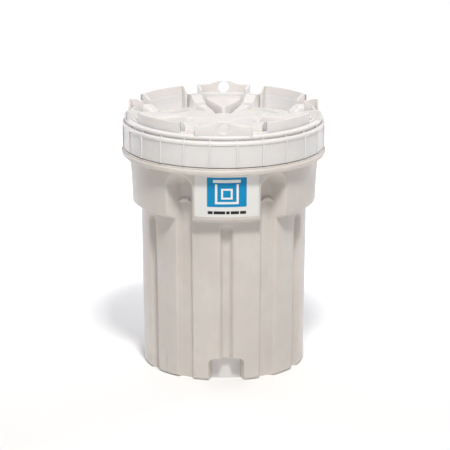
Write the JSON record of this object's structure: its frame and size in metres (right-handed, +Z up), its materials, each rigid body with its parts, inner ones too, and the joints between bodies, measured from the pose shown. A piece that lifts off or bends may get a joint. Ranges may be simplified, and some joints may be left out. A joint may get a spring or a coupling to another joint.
{
  "type": "overpack salvage drum",
  "caption": "Fluted plastic salvage drum with a stepped shoulder and a ribbed screw lid that has upright holed tabs; holds and seals a smaller leaking drum.",
  "frame": {"origin": "centre of the base, on the ground", "axes": "+Z up along the drum's axis; -Y towards the lid's front tab, with the drum's label 2 degrees round from it"},
  "size_m": [0.5458, 0.5458, 0.717],
  "materials": {
    "drum_plastic": "satin moulded polyethylene, off-white",
    "lid_plastic": "satin moulded polyethylene, white",
    "gasket_rubber": "matt cellular rubber",
    "label_vinyl": "semi-gloss printed vinyl"
  },
  "bodies": {
    "drum": {"drum_body": "drum_plastic", "front_label": "label_vinyl"},
    "seal": {"lid_gasket": "gasket_rubber"},
    "lid": {"screw_lid": "lid_plastic"}
  },
  "joints": [
    {"name": "lid_lift", "type": "slide", "parent": "drum", "child": "seal", "axis": [0, 0, 1], "range_m": [0, 0.0601]},
    {"name": "lid_turn", "type": "hinge", "parent": "seal", "child": "lid", "pos_m": [0, 0, 0], "axis": [0, 0, 1], "range_deg": [0, 1080]}
  ],
  "couplings": [
    {"joint": "lid_lift", "follows": "lid_turn", "m_per_rad": 0.0031831}
  ]
}
